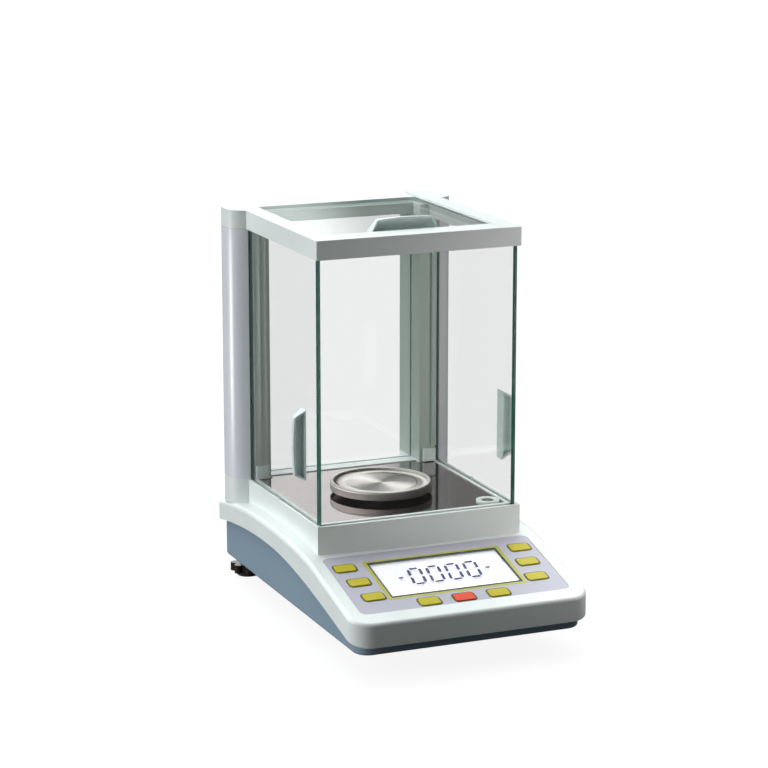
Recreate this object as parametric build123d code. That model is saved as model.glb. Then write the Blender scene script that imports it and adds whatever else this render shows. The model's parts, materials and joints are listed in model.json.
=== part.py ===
"""Analytical balance with a glass draft shield, keypad and display, in millimetres.

+X is the right side, +Y the back and +Z up. The origin is on the table, under the middle of
the case. Each function makes one sub-part, or a pair of mirrored ones, at its own place.
"""

import os
from math import cos, pi, radians, sin, tan

from build123d import *

# ---- driving dimensions ----------------------------------------------------------------
CASE_WIDTH = 216.0
CASE_DEPTH = 342.0
CASE_BOTTOM = 21.3
SHELL_WALL = 3.0
LOWER_INSET = 6.0

# side views, as (y, z): the deck behind its straight slope, and the line where the shells meet
DECK_FRONT = 50.2
DECK_SLOPE = 14.06
DECK_BEND = -82.0
DECK_CROWN = [(-40.0, 79.4), (0.0, 82.2), (50.0, 82.8), (105.0, 80.2), (190.0, 66.5)]
PARTING = [
    (-171.0, 29.7), (-120.0, 42.2), (-60.0, 55.3), (0.0, 64.0), (50.0, 65.5), (105.0, 62.3), (190.0, 47.6)
]
DECK_EDGE = 3.5

BLOCK_HALF = 94.3
BLOCK_FRONT = -56.0
BLOCK_TOP = 101.5
BLOCK_BOW_LOW = 8.0
BLOCK_BOW_HIGH = 2.0
PLATE_DROP = 0.8
PLATE_BED = 4.0

FRAME_HALF = 94.0
FRAME_FRONT = -55.0
FRAME_BOTTOM = 329.5
FRAME_TOP = 346.0
BEAM_REAR = -43.0
BEAM_LIP = -31.0
RAIL_INNER = 82.0
RAIL_LIP = 78.0
LIP_UNDER = 344.0
LEDGE_TOP = 340.4
GROOVE_TOP = 335.0

COLUMN_FRONT = 113.5
COLUMN_REAR = 160.0
COLUMN_INNER = 73.0
COLUMN_OUTER = 107.5
COLUMN_RADIUS = 17.0
COLUMN_FLAT = 7.0
SCREW_RADIUS = 2.0
SCREW_HOLE = 2.2

GLASS = 3.0
DOOR_X = 90.5
SLOT = 3.8
FRONT_GLASS = 4.0
FRONT_GLASS_Y = -53.5
REAR_GLASS_Y = 133.0
PANE_GAP = 0.2
TOP_GLASS_LOW = 340.7

GRIP_HALF = 31.0
GRIP_SHOULDER = 25.5
GRIP_RISE = 11.6
GRIP_EDGE = 10.4
GRIP_DEPTH = 11.0
GRIP_LIP = 4.4
GRIP_RIM = 1.5
GRIP_BASE = 1.0
GRIP_MIDDLE = 164.8
SIDE_GRIP_Y = -24.0
TOP_GRIP_Y = -22.5

PAN_Y = 31.0
PAN_RADIUS = 45.2
PAN_TOP = 112.1

PANEL_RECESS = 0.6
PANEL_THICK = 1.0
KEY_SIZE = (18.0, 11.0)
KEY_GAP = 0.3
KEY_CORNER = 2.5

FOOT_X = 82.0
FOOT_Y = 153.0
FOOT_THREAD = 4.0
FOOT_TOP = 36.0

LEVEL_X = 74.0
LEVEL_Y = -33.5
LEVEL_RADIUS = 9.3

CELL_FLOOR = 30.0
CELL_TOP = 86.0
CELL_POSTS = [(-26.0, 52.0), (26.0, 52.0), (-26.0, 120.0), (26.0, 120.0)]
LEVER_Z = 66.0
PIVOT_Y = 48.0
MAGNET_Y = 100.0

BOARD_LEVEL = 32.0
BOARD_POSTS = [(-90.0, -60.0), (-44.0, -60.0), (-90.0, 60.0), (-44.0, 60.0)]
INLET_X = -48.0
PORT_X = 20.0
SOCKET_Z = 38.0

HALF_WIDTH = CASE_WIDTH / 2
HALF_DEPTH = CASE_DEPTH / 2
LOWER_HALF = HALF_WIDTH - LOWER_INSET
SLOT_IN = DOOR_X - SLOT / 2
SLOT_OUT = DOOR_X + SLOT / 2
SLOT_FRONT = FRONT_GLASS_Y + FRONT_GLASS + 0.1
TRAY_FLOOR = CASE_BOTTOM + SHELL_WALL
TRAY_REAR = HALF_DEPTH - LOWER_INSET
PLATE_TOP = BLOCK_TOP - PLATE_DROP
CASE_SCREWS = [
    (side * x, y, top) for side in (-1, 1) for x, y, top in ((94.0, -150.0, 42.0), (90.0, 96.0, 58.0))
]
COLUMN_SCREWS = [(side * x, 124.0) for side in (-1, 1) for x in (95.8, 80.5)]
BEYOND = 400.0

# ---- keypad layout: x and distance up the slope from the deck's front edge ----------------
DISPLAY_MIDDLE = 65.5
DISPLAY_OUTER = (126.0, 63.0)
DISPLAY_VIEW = (120.0, 58.0)
PANEL_SIZE = (190.0, 93.0)
PANEL_MIDDLE = 62.5
KEYS = {
    "key_left_rear": (-81.0, 90.0),
    "key_left_middle": (-77.7, 66.0),
    "key_left_front": (-74.6, 41.5),
    "key_right_rear": (81.0, 90.0),
    "key_right_middle": (77.7, 66.0),
    "key_right_front": (74.6, 41.5),
    "key_front_left": (-31.5, 24.2),
    "key_front_middle": (0.0, 24.2),
    "key_front_right": (31.5, 24.2),
}


# ---- helpers ---------------------------------------------------------------------------
def block(x0, x1, y0, y1, z0, z1):
    """A box between two corners."""
    middle = Pos((x0 + x1) / 2, (y0 + y1) / 2, (z0 + z1) / 2)
    return middle * Box(x1 - x0, y1 - y0, z1 - z0)


def post(x, y, z0, z1, radius):
    """An upright cylinder."""
    return Pos(x, y, (z0 + z1) / 2) * Cylinder(radius, z1 - z0)


def both_sides(part):
    """The part and its mirror image across the middle plane."""
    return [part, mirror(part, about=Plane.YZ)]


def plan(half_x, y0, y1, corner, z0, z1):
    """A rounded rectangle in plan, extruded from z0 to z1."""
    outline = Pos(0, (y0 + y1) / 2) * RectangleRounded(2 * half_x, y1 - y0, corner)
    return extrude(Pos(0, 0, z0) * outline, z1 - z0)


def save(name, *solids):
    """Write one node, a single solid or a group of separate solids."""
    shape = solids[0] if len(solids) == 1 else Compound(list(solids))
    export_step(shape, f"parts/{name}.step")


def save_pair(name, part):
    """Write a part on the right and its mirror image on the left."""
    for side, solid in zip(("right", "left"), both_sides(part)):
        save(f"{side}_{name}", solid)


# ---- the deck and the parting line, as side views (y, z) ---------------------------------
def deck_height(y):
    """The straight front slope of the deck."""
    return DECK_FRONT + (y + HALF_DEPTH) * tan(radians(DECK_SLOPE))


def region_below(top_edges, start, end, floor):
    """All space below a side-view line that runs from start to end, and above floor."""
    rest = Polyline(end, (end[0], floor), (start[0], floor), start)
    return extrude(Plane.YZ * make_face([*top_edges, rest]), 140, both=True)


def side_region(drop, floor):
    """All space below the deck lowered by drop, and above floor."""
    lead = -HALF_DEPTH - 20
    start = (lead, deck_height(lead) - drop)
    bend = (DECK_BEND, deck_height(DECK_BEND) - drop)
    crown_points = [bend] + [(y, z - drop) for y, z in DECK_CROWN]
    slope_direction = (cos(radians(DECK_SLOPE)), sin(radians(DECK_SLOPE)))
    crown = Spline(crown_points, tangents=[slope_direction, (1, -0.19)])
    return region_below([Line(start, bend), crown], start, crown_points[-1], floor)


def parting_region(lift):
    """All space below the line where the two shells meet, raised by lift."""
    points = [(y, z + lift) for y, z in PARTING]
    start = (points[0][0] - 20, points[0][1])
    return region_below([Line(start, points[0]), Spline(points)], start, points[-1], 0)


DECK = Plane(
    origin=(0, -HALF_DEPTH, DECK_FRONT),
    x_dir=(1, 0, 0),
    z_dir=(0, -sin(radians(DECK_SLOPE)), cos(radians(DECK_SLOPE))),
).location


def deck_slab(x, v, size, corner, low, high):
    """A rounded plate parallel to the front slope, from low to high along its normal."""
    outline = RectangleRounded(size[0], size[1], corner)
    return DECK * Pos(x, v, low) * extrude(outline, high - low)


# ---- case --------------------------------------------------------------------------------
def top_case():
    """The white upper shell: deck, arched sides and the overhanging band."""
    outer = plan(HALF_WIDTH, -HALF_DEPTH, HALF_DEPTH, 18, 20, 100)
    outer = (outer & side_region(0, 10)) - parting_region(0)
    deck_faces = [face for face in outer.faces() if face.normal_at().Z > 0.5]
    rim = [edge for face in deck_faces for edge in face.edges() if abs(edge.center().Y - DECK_BEND) > 1]
    outer = fillet(rim, DECK_EDGE)
    cavity = plan(HALF_WIDTH - SHELL_WALL, -HALF_DEPTH + SHELL_WALL, HALF_DEPTH - SHELL_WALL, 15, 10, 100)
    cavity = (cavity & side_region(SHELL_WALL, 10)) - parting_region(7)
    mouth = plan(LOWER_HALF + 0.4, -HALF_DEPTH + 5.6, HALF_DEPTH - 5.6, 14, 10, 100)
    mouth = mouth & parting_region(8)
    shell = outer - cavity - mouth
    for x, y, top in CASE_SCREWS:
        shell += post(x, y, top, 90, 5) & side_region(1, 10)
        shell -= post(x, y, top - 6, top + 8, SCREW_RADIUS)
    shell -= deck_slab(0, PANEL_MIDDLE, (PANEL_SIZE[0] + 0.6, PANEL_SIZE[1] + 0.6), 6.3,
                       -PANEL_RECESS - PANEL_THICK, 6)
    shell -= deck_slab(0, DISPLAY_MIDDLE, (DISPLAY_VIEW[0] + 1, DISPLAY_VIEW[1] + 1), 1, -6, 6)
    for x, v in KEYS.values():
        hole = (KEY_SIZE[0] + 2 * KEY_GAP, KEY_SIZE[1] + 2 * KEY_GAP)
        shell -= deck_slab(x, v, hole, KEY_CORNER + KEY_GAP, -6, 6)
    shell -= plan(62, -20, 128, 6, 60, 100)
    shell -= Part() + [post(x, y, 60, 100, SCREW_HOLE) for x, y in COLUMN_SCREWS]
    return shell


def bottom_case():
    """The blue-grey lower tray with its bosses and the rear wall's cut-outs."""
    outer = plan(LOWER_HALF, -TRAY_REAR, TRAY_REAR, 13.5, CASE_BOTTOM, 100) & parting_region(7.6)
    outer = fillet(outer.faces().sort_by(Axis.Z)[0].edges(), 2.5)
    inner_rear = TRAY_REAR - SHELL_WALL
    cavity = plan(LOWER_HALF - SHELL_WALL, -inner_rear, inner_rear, 10.5, TRAY_FLOOR, 100)
    tray = outer - cavity
    for x, y, top in CASE_SCREWS:
        tray += post(x, y, TRAY_FLOOR - 1, top, 5)
        tray -= post(x, y, 10, 100, SCREW_HOLE)
        tray -= post(x, y, 10, CASE_BOTTOM + 4, 4.2)
    for side in (-1, 1):
        tray += post(side * FOOT_X, FOOT_Y, TRAY_FLOOR - 1, FOOT_TOP, 9.5)
        tray -= post(side * FOOT_X, FOOT_Y, 10, FOOT_TOP + 4, 7)
    for x, y in CELL_POSTS:
        tray += post(x, y, TRAY_FLOOR - 1, CELL_FLOOR, 6)
    for x, y in BOARD_POSTS:
        tray += post(x, y, TRAY_FLOOR - 1, BOARD_LEVEL, 3)
    for x, half, rise in ((INLET_X, 14, 10), (PORT_X, 10, 5.5)):
        tray -= block(x - half, x + half, TRAY_REAR - 8, TRAY_REAR + 4, SOCKET_Z - rise, SOCKET_Z + rise)
    return tray


def case_screws():
    """Four screws that come up from below and pull the two shells together."""
    screws = []
    for x, y, top in CASE_SCREWS:
        head = post(x, y, CASE_BOTTOM + 1.4, CASE_BOTTOM + 4, 3.6)
        head -= block(x - 2.6, x + 2.6, y - 0.5, y + 0.5, CASE_BOTTOM, CASE_BOTTOM + 2.4)
        head -= block(x - 0.5, x + 0.5, y - 2.6, y + 2.6, CASE_BOTTOM, CASE_BOTTOM + 2.4)
        screws.append(head + post(x, y, CASE_BOTTOM + 3, top + 7, SCREW_RADIUS))
    return screws


# ---- chamber base and floor ----------------------------------------------------------------
def bowed_outline(half_x, front, rear, bow):
    """A rectangle whose front edge bows forward."""
    arc = ThreePointArc((-half_x, front), (0, front - bow), (half_x, front))
    sides = Polyline((half_x, front), (half_x, rear), (-half_x, rear), (-half_x, front))
    return make_face([arc, sides])


def rear_glass_groove(low, high):
    """The space that the rear pane's edges need in the pieces that hold it."""
    reach = COLUMN_INNER + 5
    return block(-reach, reach, REAR_GLASS_Y - PANE_GAP, REAR_GLASS_Y + GLASS + PANE_GAP, low, high)


def front_glass_groove(low, high):
    """The space that the front pane's edges need in the pieces that hold it."""
    return block(-91, 91, FRONT_GLASS_Y - PANE_GAP, FRONT_GLASS_Y + FRONT_GLASS + PANE_GAP, low, high)


def chamber_base():
    """The white block that carries the glass chamber, seated on the arched deck."""
    low = Pos(0, 0, 60) * bowed_outline(BLOCK_HALF, BLOCK_FRONT, COLUMN_FRONT, BLOCK_BOW_LOW)
    high = Pos(0, 0, BLOCK_TOP) * bowed_outline(BLOCK_HALF, BLOCK_FRONT, COLUMN_FRONT, BLOCK_BOW_HIGH)
    body = loft([low, high])
    body += block(-COLUMN_INNER, COLUMN_INNER, COLUMN_FRONT - 1, 140, 60, BLOCK_TOP)
    body = fillet(body.edges().filter_by(Axis.X).sort_by(Axis.Z)[-1], 1)
    body -= side_region(0, 10)
    ceiling = BLOCK_TOP - 5
    body -= plan(82, -48, 112, 4, 50, ceiling)
    body -= block(-66, 66, 108, 130, 50, ceiling)
    bed = BLOCK_TOP - PLATE_BED
    above = BLOCK_TOP + 5
    body -= block(-86.2, 86.2, -45.2, 113, bed, above) + block(-72, 72, 112, 119.2, bed, above)
    for low_x, high_x in ((SLOT_IN, SLOT_OUT), (-SLOT_OUT, -SLOT_IN)):
        body -= block(low_x, high_x, SLOT_FRONT, 150, BLOCK_TOP - 6, above)
    body -= front_glass_groove(bed, above)
    body -= rear_glass_groove(bed, above)
    body -= post(0, PAN_Y, 60, above, 12)
    body -= post(LEVEL_X, LEVEL_Y, 60, above, LEVEL_RADIUS)
    return body


def floor_plate():
    """The dark glossy plate that is the chamber's floor."""
    bed = BLOCK_TOP - PLATE_BED
    plate = block(-86, 86, -45, 113, bed, PLATE_TOP) + block(-71.8, 71.8, 112, 119, bed, PLATE_TOP)
    plate -= post(0, PAN_Y, 90, 110, 9)
    plate -= post(LEVEL_X, LEVEL_Y, 90, 110, LEVEL_RADIUS)
    return plate


def door_tracks():
    """Thin dark liners on the floors of the side slots."""
    liner = block(SLOT_IN, SLOT_OUT, SLOT_FRONT, COLUMN_FRONT, BLOCK_TOP - 6, BLOCK_TOP - 5.4)
    return both_sides(liner)


def door_guides():
    """Small blocks on the front of each inner post that steady the side door."""
    guide = block(COLUMN_INNER + 3, SLOT_IN - 1, COLUMN_FRONT - 4, COLUMN_FRONT, BLOCK_TOP, BLOCK_TOP + 12)
    guide = fillet(guide.edges().filter_by(Axis.X).sort_by(Axis.Z)[-1], 1.5)
    return both_sides(guide)


# ---- columns and frame -----------------------------------------------------------------------
def corner_arc(centre, radius, start_degrees):
    """A quarter circle, anticlockwise from start_degrees."""
    turns = [radians(start_degrees + step) for step in (0, 45, 90)]
    points = [(centre[0] + radius * cos(turn), centre[1] + radius * sin(turn)) for turn in turns]
    return ThreePointArc(*points)


def column_outline():
    """The right column in plan: round outside, flat inside, square to the chamber."""
    front_centre = (COLUMN_OUTER - COLUMN_RADIUS, COLUMN_FRONT + COLUMN_RADIUS)
    flat_end = front_centre[1] + COLUMN_FLAT
    rear_radius = COLUMN_REAR - flat_end
    rear_centre = (COLUMN_OUTER - rear_radius, flat_end)
    front = corner_arc(front_centre, COLUMN_RADIUS, -90)
    outside = Line((COLUMN_OUTER, front_centre[1]), (COLUMN_OUTER, flat_end))
    rear = corner_arc(rear_centre, rear_radius, 0)
    inside = Polyline(
        (rear_centre[0], COLUMN_REAR),
        (COLUMN_INNER, COLUMN_REAR),
        (COLUMN_INNER, COLUMN_FRONT),
        (front_centre[0], COLUMN_FRONT),
    )
    return make_face([front, outside, rear, inside])


def column_prism(z0, z1):
    """The right column's outline between two heights."""
    return extrude(Pos(0, 0, z0) * column_outline(), z1 - z0)


def right_screw_bores(low, high, radius, inner, outer):
    """Bores for the right column's screws that stand between two distances from the middle."""
    return Part() + [post(x, y, low, high, radius) for x, y in COLUMN_SCREWS if inner < x < outer]


def extrusion_core(x, y, width, depth):
    """The hollow that runs the whole height of an extrusion."""
    outline = Pos(x, y, BLOCK_TOP) * RectangleRounded(width, depth, 2)
    return extrude(outline, FRAME_BOTTOM - BLOCK_TOP + 1)


def outer_column():
    """The right outer extrusion, outside the side door's slot."""
    body = column_prism(BLOCK_TOP, FRAME_BOTTOM) & block(SLOT_OUT, 120, 100, 170, 0, BEYOND)
    body -= extrusion_core(98.6, 133.5, 7.5, 5)
    return body - right_screw_bores(0, BEYOND, SCREW_RADIUS, SLOT_OUT, COLUMN_OUTER)


def inner_post():
    """The right inner extrusion, which also holds the rear glass."""
    body = column_prism(BLOCK_TOP, FRAME_BOTTOM) & block(60, SLOT_IN, 100, 170, 0, BEYOND)
    body += block(SLOT_IN - 4, SLOT_IN, COLUMN_FRONT - 2.5, COLUMN_FRONT + 1, BLOCK_TOP + 14, FRAME_BOTTOM)
    body -= rear_glass_groove(0, BEYOND)
    body -= extrusion_core(80.5, 147, 10, 12)
    return body - right_screw_bores(0, BEYOND, SCREW_RADIUS, 0, SLOT_IN)


def column_feet():
    """The columns' feet, from the deck up to the chamber's floor level."""
    body = column_prism(60, BLOCK_TOP) - side_region(0, 10)
    body -= block(SLOT_IN, SLOT_OUT, 100, 170, BLOCK_TOP - 6, BLOCK_TOP + 5)
    body -= rear_glass_groove(BLOCK_TOP - PLATE_BED, BLOCK_TOP + 5)
    body -= right_screw_bores(0, BEYOND, SCREW_HOLE, 0, COLUMN_OUTER)
    return both_sides(body)


def column_screws():
    """Long screws from under the deck into the four extrusions."""
    screws = []
    for x, y in COLUMN_SCREWS:
        head = post(x, y, 66, 69, 3)
        screws.append(head + post(x, y, 68, BLOCK_TOP + 22, SCREW_RADIUS))
    return screws


def top_frame():
    """The U-shaped top frame: front beam, two slotted rails and the column caps."""
    beam = block(-FRAME_HALF, FRAME_HALF, FRAME_FRONT, BEAM_REAR, FRAME_BOTTOM, FRAME_TOP)
    beam += block(-FRAME_HALF, FRAME_HALF, FRAME_FRONT, BEAM_LIP, LIP_UNDER, FRAME_TOP)
    rail = block(RAIL_INNER, FRAME_HALF, FRAME_FRONT, COLUMN_FRONT + 8, FRAME_BOTTOM, FRAME_TOP)
    rail += block(RAIL_LIP, FRAME_HALF, FRAME_FRONT, COLUMN_REAR, LIP_UNDER, FRAME_TOP)
    cap = column_prism(FRAME_BOTTOM, FRAME_TOP)
    rail += cap - block(60, RAIL_LIP, 100, 170, LIP_UNDER, BEYOND)
    rail -= block(60, 91, BEAM_REAR, 170, LEDGE_TOP, LIP_UNDER)
    frame = beam + both_sides(rail)
    for low_x, high_x in ((SLOT_IN, SLOT_OUT), (-SLOT_OUT, -SLOT_IN)):
        frame -= block(low_x, high_x, SLOT_FRONT, 170, 300, GROOVE_TOP + 0.5)
    frame -= rear_glass_groove(300, GROOVE_TOP - 1)
    frame -= front_glass_groove(300, GROOVE_TOP)
    frame -= block(-91, 91, BEAM_REAR, BEAM_LIP, 300, LIP_UNDER)
    corners = frame.edges().filter_by(Axis.Z).filter_by(
        lambda e: e.center().Y < FRAME_FRONT + 0.1 and abs(abs(e.center().X) - FRAME_HALF) < 0.1
    )
    return fillet(corners, 1.2)


def top_crossbar():
    """The low rear bar that joins the caps and holds the rear glass."""
    bar = block(-COLUMN_INNER, COLUMN_INNER, 129, COLUMN_REAR - 1, FRAME_BOTTOM + 1, LEDGE_TOP)
    bar = fillet(bar.edges().filter_by(Axis.X), 0.8)
    return bar - rear_glass_groove(300, GROOVE_TOP - 1)


# ---- glass and doors -----------------------------------------------------------------------
def front_glass():
    """The fixed front pane."""
    rear = FRONT_GLASS_Y + FRONT_GLASS
    pane = block(-90.5, 90.5, FRONT_GLASS_Y, rear, BLOCK_TOP - PLATE_BED, GROOVE_TOP - 0.5)
    return chamfer(pane.edges().filter_by(Axis.Z), 0.4)


def rear_glass():
    """The fixed rear pane between the inner posts."""
    wide = COLUMN_INNER + 4.5
    narrow = COLUMN_INNER - PANE_GAP
    rear = REAR_GLASS_Y + GLASS
    pane = block(-wide, wide, REAR_GLASS_Y, rear, BLOCK_TOP, GROOVE_TOP - 1.5)
    return pane + block(-narrow, narrow, REAR_GLASS_Y, rear, BLOCK_TOP - PLATE_BED, BLOCK_TOP + 1)


def side_door_glass():
    """The right sliding pane."""
    pane = block(DOOR_X - GLASS / 2, DOOR_X + GLASS / 2, -48.5, 119, BLOCK_TOP - 5, GROOVE_TOP)
    return chamfer(pane.edges().filter_by(Axis.Z), 0.3)


def top_door_glass():
    """The sliding top pane."""
    pane = block(-90.3, 90.3, BEAM_REAR + 1, 141, TOP_GLASS_LOW, TOP_GLASS_LOW + GLASS)
    return chamfer(pane.edges().filter_by(Axis.X), 0.3)


def grip_front(inset):
    """A grip's outline seen from the front, standing on Z = 0, drawn in by inset all round."""
    shoulder = GRIP_SHOULDER - inset
    foot = GRIP_HALF - inset
    edge = GRIP_EDGE - inset
    crown = ThreePointArc((-shoulder, edge), (0, GRIP_RISE - inset), (shoulder, edge))
    ends = Polyline((shoulder, edge), (foot, 0), (-foot, 0), (-shoulder, edge))
    return fillet(make_face([crown, ends]).vertices().sort_by(Axis.Y)[-2:], 3)


def grip():
    """A door's grip, lying along X on Z = 0, with its hollow finger face towards -Y."""
    back = ThreePointArc((GRIP_LIP, GRIP_RISE), (GRIP_LIP + 3, GRIP_RISE / 2), (GRIP_DEPTH, 0))
    rest = Polyline((GRIP_DEPTH, 0), (0, 0), (0, GRIP_RISE), (GRIP_LIP, GRIP_RISE))
    section = extrude(Plane.YZ * make_face([back, rest]), GRIP_HALF + 1, both=True)
    body = extrude(Plane.XZ * grip_front(0), -GRIP_DEPTH) & section
    finger = Pos(0, -2, 2) * Rot(0, 90, 0) * Cylinder(8, 2 * GRIP_HALF)
    hollow = extrude(Plane.XZ * grip_front(GRIP_RIM), 20, both=True) & finger
    return body - (hollow & block(-GRIP_HALF, GRIP_HALF, -20, 20, GRIP_BASE, GRIP_RISE))


def side_door_handle():
    """The right door's grip, upright on the pane."""
    return Pos(DOOR_X + GLASS / 2, SIDE_GRIP_Y, GRIP_MIDDLE) * Rot(0, 90, 0) * grip()


def top_door_handle():
    """The top door's grip, across the pane near its front edge."""
    return Pos(0, TOP_GRIP_Y, TOP_GLASS_LOW + GLASS) * grip()


# ---- keypad and display ------------------------------------------------------------------------
def keypad_panel():
    """The lavender overlay that sits in the deck's recess."""
    panel = deck_slab(0, PANEL_MIDDLE, PANEL_SIZE, 6, -PANEL_RECESS - PANEL_THICK, -PANEL_RECESS)
    panel -= deck_slab(0, DISPLAY_MIDDLE, DISPLAY_OUTER, 1.2, -6, 6)
    for x, v in KEYS.values():
        hole = (KEY_SIZE[0] + 2 * KEY_GAP, KEY_SIZE[1] + 2 * KEY_GAP)
        panel -= deck_slab(x, v, hole, KEY_CORNER + KEY_GAP, -6, 6)
    return panel


def display_bezel():
    """The yellow border around the display."""
    under = -PANEL_RECESS - PANEL_THICK
    bezel = deck_slab(0, DISPLAY_MIDDLE, DISPLAY_OUTER, 1.2, under, -PANEL_RECESS + 0.1)
    return bezel - deck_slab(0, DISPLAY_MIDDLE, DISPLAY_VIEW, 0.6, -6, 6)


def display_window():
    """The clear window inside the border."""
    return deck_slab(0, DISPLAY_MIDDLE, DISPLAY_VIEW, 0.6, -2.4, -PANEL_RECESS - 0.2)


def display_module():
    """The liquid-crystal cell and its backlight, just under the window."""
    return deck_slab(0, DISPLAY_MIDDLE, (118, 56), 0.5, -6.6, -2.4)


def key_cap(x, v):
    """One key: a flat cap on a plunger that reaches its switch."""
    cap = deck_slab(x, v, KEY_SIZE, KEY_CORNER, -4.2, 0.2)
    top_face = cap.faces().filter_by(GeomType.PLANE).sort_by(SortBy.AREA)[-2:].sort_by(Axis.Z)[-1]
    cap = fillet(top_face.edges(), 0.4)
    return cap + deck_slab(x, v, (4, 4), 0.5, -5.4, -4.0)


def key_switches():
    """One small dome switch under each key."""
    return [
        deck_slab(x, v, (6, 6), 0.6, -7.4, -6.6) + deck_slab(x, v, (3, 3), 0.4, -6.8, -6.0)
        for x, v in KEYS.values()
    ]


def key_board():
    """The circuit board that carries the switches and the display."""
    return deck_slab(0, 58, (175, 84), 2, -9.0, -7.4) + deck_slab(0, DISPLAY_MIDDLE, (100, 40), 1, -7.6, -6.6)


# ---- electronics in the case ---------------------------------------------------------------------
def main_board():
    """The main circuit board with its larger components."""
    top = BOARD_LEVEL + 1.6
    board = block(-95, -39, -66, 66, BOARD_LEVEL, top)
    board += block(-80, -66, -20, -6, top - 0.1, top + 2)
    board += block(-72, -60, 18, 40, top - 0.1, top + 3)
    board += [post(-52, y, top - 0.1, top + 10, 4) for y in (-40, -26, 0)]
    board += block(-92, -84, -50, -20, top - 0.1, top + 7)
    return board


def transformer():
    """The mains transformer: laminated core and winding."""
    low = TRAY_FLOOR + 5
    high = TRAY_FLOOR + 27
    core = block(40, 82, 70, 106, TRAY_FLOOR, TRAY_FLOOR + 32)
    core -= block(44, 78, 60, 76, low, high) + block(44, 78, 100, 116, low, high)
    return core + block(45, 77, 68, 108, low + 1, high - 1)


def power_inlet():
    """The three-pin appliance inlet in the rear wall."""
    body = block(INLET_X - 13.8, INLET_X + 13.8, TRAY_REAR - 22, TRAY_REAR, SOCKET_Z - 9.8, SOCKET_Z + 9.8)
    body += block(INLET_X - 17, INLET_X + 17, TRAY_REAR, TRAY_REAR + 2, SOCKET_Z - 12, SOCKET_Z + 12)
    body -= block(INLET_X - 12, INLET_X + 12, TRAY_REAR - 16, TRAY_REAR + 3, SOCKET_Z - 8, SOCKET_Z + 8)
    for dx, dz in ((-7, 1.5), (0, -3), (7, 1.5)):
        x = INLET_X + dx
        z = SOCKET_Z + dz
        body += block(x - 1, x + 1, TRAY_REAR - 17, TRAY_REAR - 2, z - 2, z + 2)
    return body


def data_port():
    """The nine-pin data socket in the rear wall."""
    face = TRAY_REAR
    body = block(PORT_X - 9.7, PORT_X + 9.7, face - 10, face, SOCKET_Z - 5.2, SOCKET_Z + 5.2)
    body += block(PORT_X - 15.5, PORT_X + 15.5, face, face + 1, SOCKET_Z - 6.3, SOCKET_Z + 6.3)
    body += block(PORT_X - 8.5, PORT_X + 8.5, face, face + 6, SOCKET_Z - 4.2, SOCKET_Z + 4.2)
    body -= block(PORT_X - 7.9, PORT_X + 7.9, face + 1, face + 7, SOCKET_Z - 3.6, SOCKET_Z + 3.6)
    for row, count in ((1.4, 5), (-1.4, 4)):
        for i in range(count):
            x = PORT_X + (i - (count - 1) / 2) * 2.77
            body += Pos(x, face + 3, SOCKET_Z + row) * Rot(90, 0, 0) * Cylinder(0.5, 4.4)
    for side in (-1, 1):
        body += Pos(PORT_X + side * 12.5, face + 2.5, SOCKET_Z) * Rot(90, 0, 0) * Cylinder(2.4, 4)
    return body


# ---- spirit level ----------------------------------------------------------------------------------
def level_housing():
    """The cup of the bull's-eye level, with its rim on the floor plate."""
    cup = post(LEVEL_X, LEVEL_Y, PLATE_TOP - 8, PLATE_TOP, LEVEL_RADIUS - 0.2)
    cup += post(LEVEL_X, LEVEL_Y, PLATE_TOP, PLATE_TOP + 1.6, LEVEL_RADIUS + 0.9)
    return cup - post(LEVEL_X, LEVEL_Y, PLATE_TOP - 6.5, PLATE_TOP + 5, LEVEL_RADIUS - 1.7)


def level_vial():
    """The clear lens, domed inside, filled to its ring."""
    return post(LEVEL_X, LEVEL_Y, PLATE_TOP - 6.5, PLATE_TOP + 1.2, LEVEL_RADIUS - 1.7)


# ---- pan and weighing cell --------------------------------------------------------------------------
def pan():
    """The round stainless pan: turned flat centre, shallow trough and rolled rim."""
    bottom = PAN_TOP - 7.4
    top_side = [
        Line((0, 109.6), (31, 109.6)),
        ThreePointArc((31, 109.6), (36, 108.4), (41, 109.8)),
        ThreePointArc((41, 109.8), (43.4, PAN_TOP), (PAN_RADIUS, 110.2)),
    ]
    under_side = Polyline(
        (PAN_RADIUS, 110.2), (PAN_RADIUS, bottom), (PAN_RADIUS - 1.6, bottom), (PAN_RADIUS - 1.6, 107.2),
        (9, 107.2), (9, 103.6), (0, 103.6), (0, 109.6),
    )
    disc = revolve(Plane.XZ * make_face([*top_side, under_side]), Axis.Z)
    disc = Pos(0, PAN_Y, 0) * disc
    return disc - post(0, PAN_Y, 90, 107.0, 4.3)


def pan_support():
    """The upright cone between the weighing cell and the pan."""
    stem = post(0, PAN_Y, 92.0, 103.6, 5.5) + post(0, PAN_Y, 103.5, 106.6, 4.0)
    return stem + post(0, PAN_Y, 96.0, 98.0, 8.0)


def load_receiver():
    """The moving upright of the weighing cell."""
    body = block(-12, 12, PAN_Y - 6, PAN_Y + 6, 40, 84)
    return body + post(0, PAN_Y, 83.9, 92.0, 5.0)


def cell_frame():
    """The fixed casting of the weighing cell."""
    frame = block(-32, 32, 42, 128, CELL_FLOOR, CELL_FLOOR + 6)
    frame += block(-32, 32, PIVOT_Y - 4, PIVOT_Y + 4, CELL_FLOOR + 5, CELL_TOP)
    frame -= block(-10, 10, 40, 56, LEVER_Z - 8, LEVER_Z + 8)
    return frame


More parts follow.
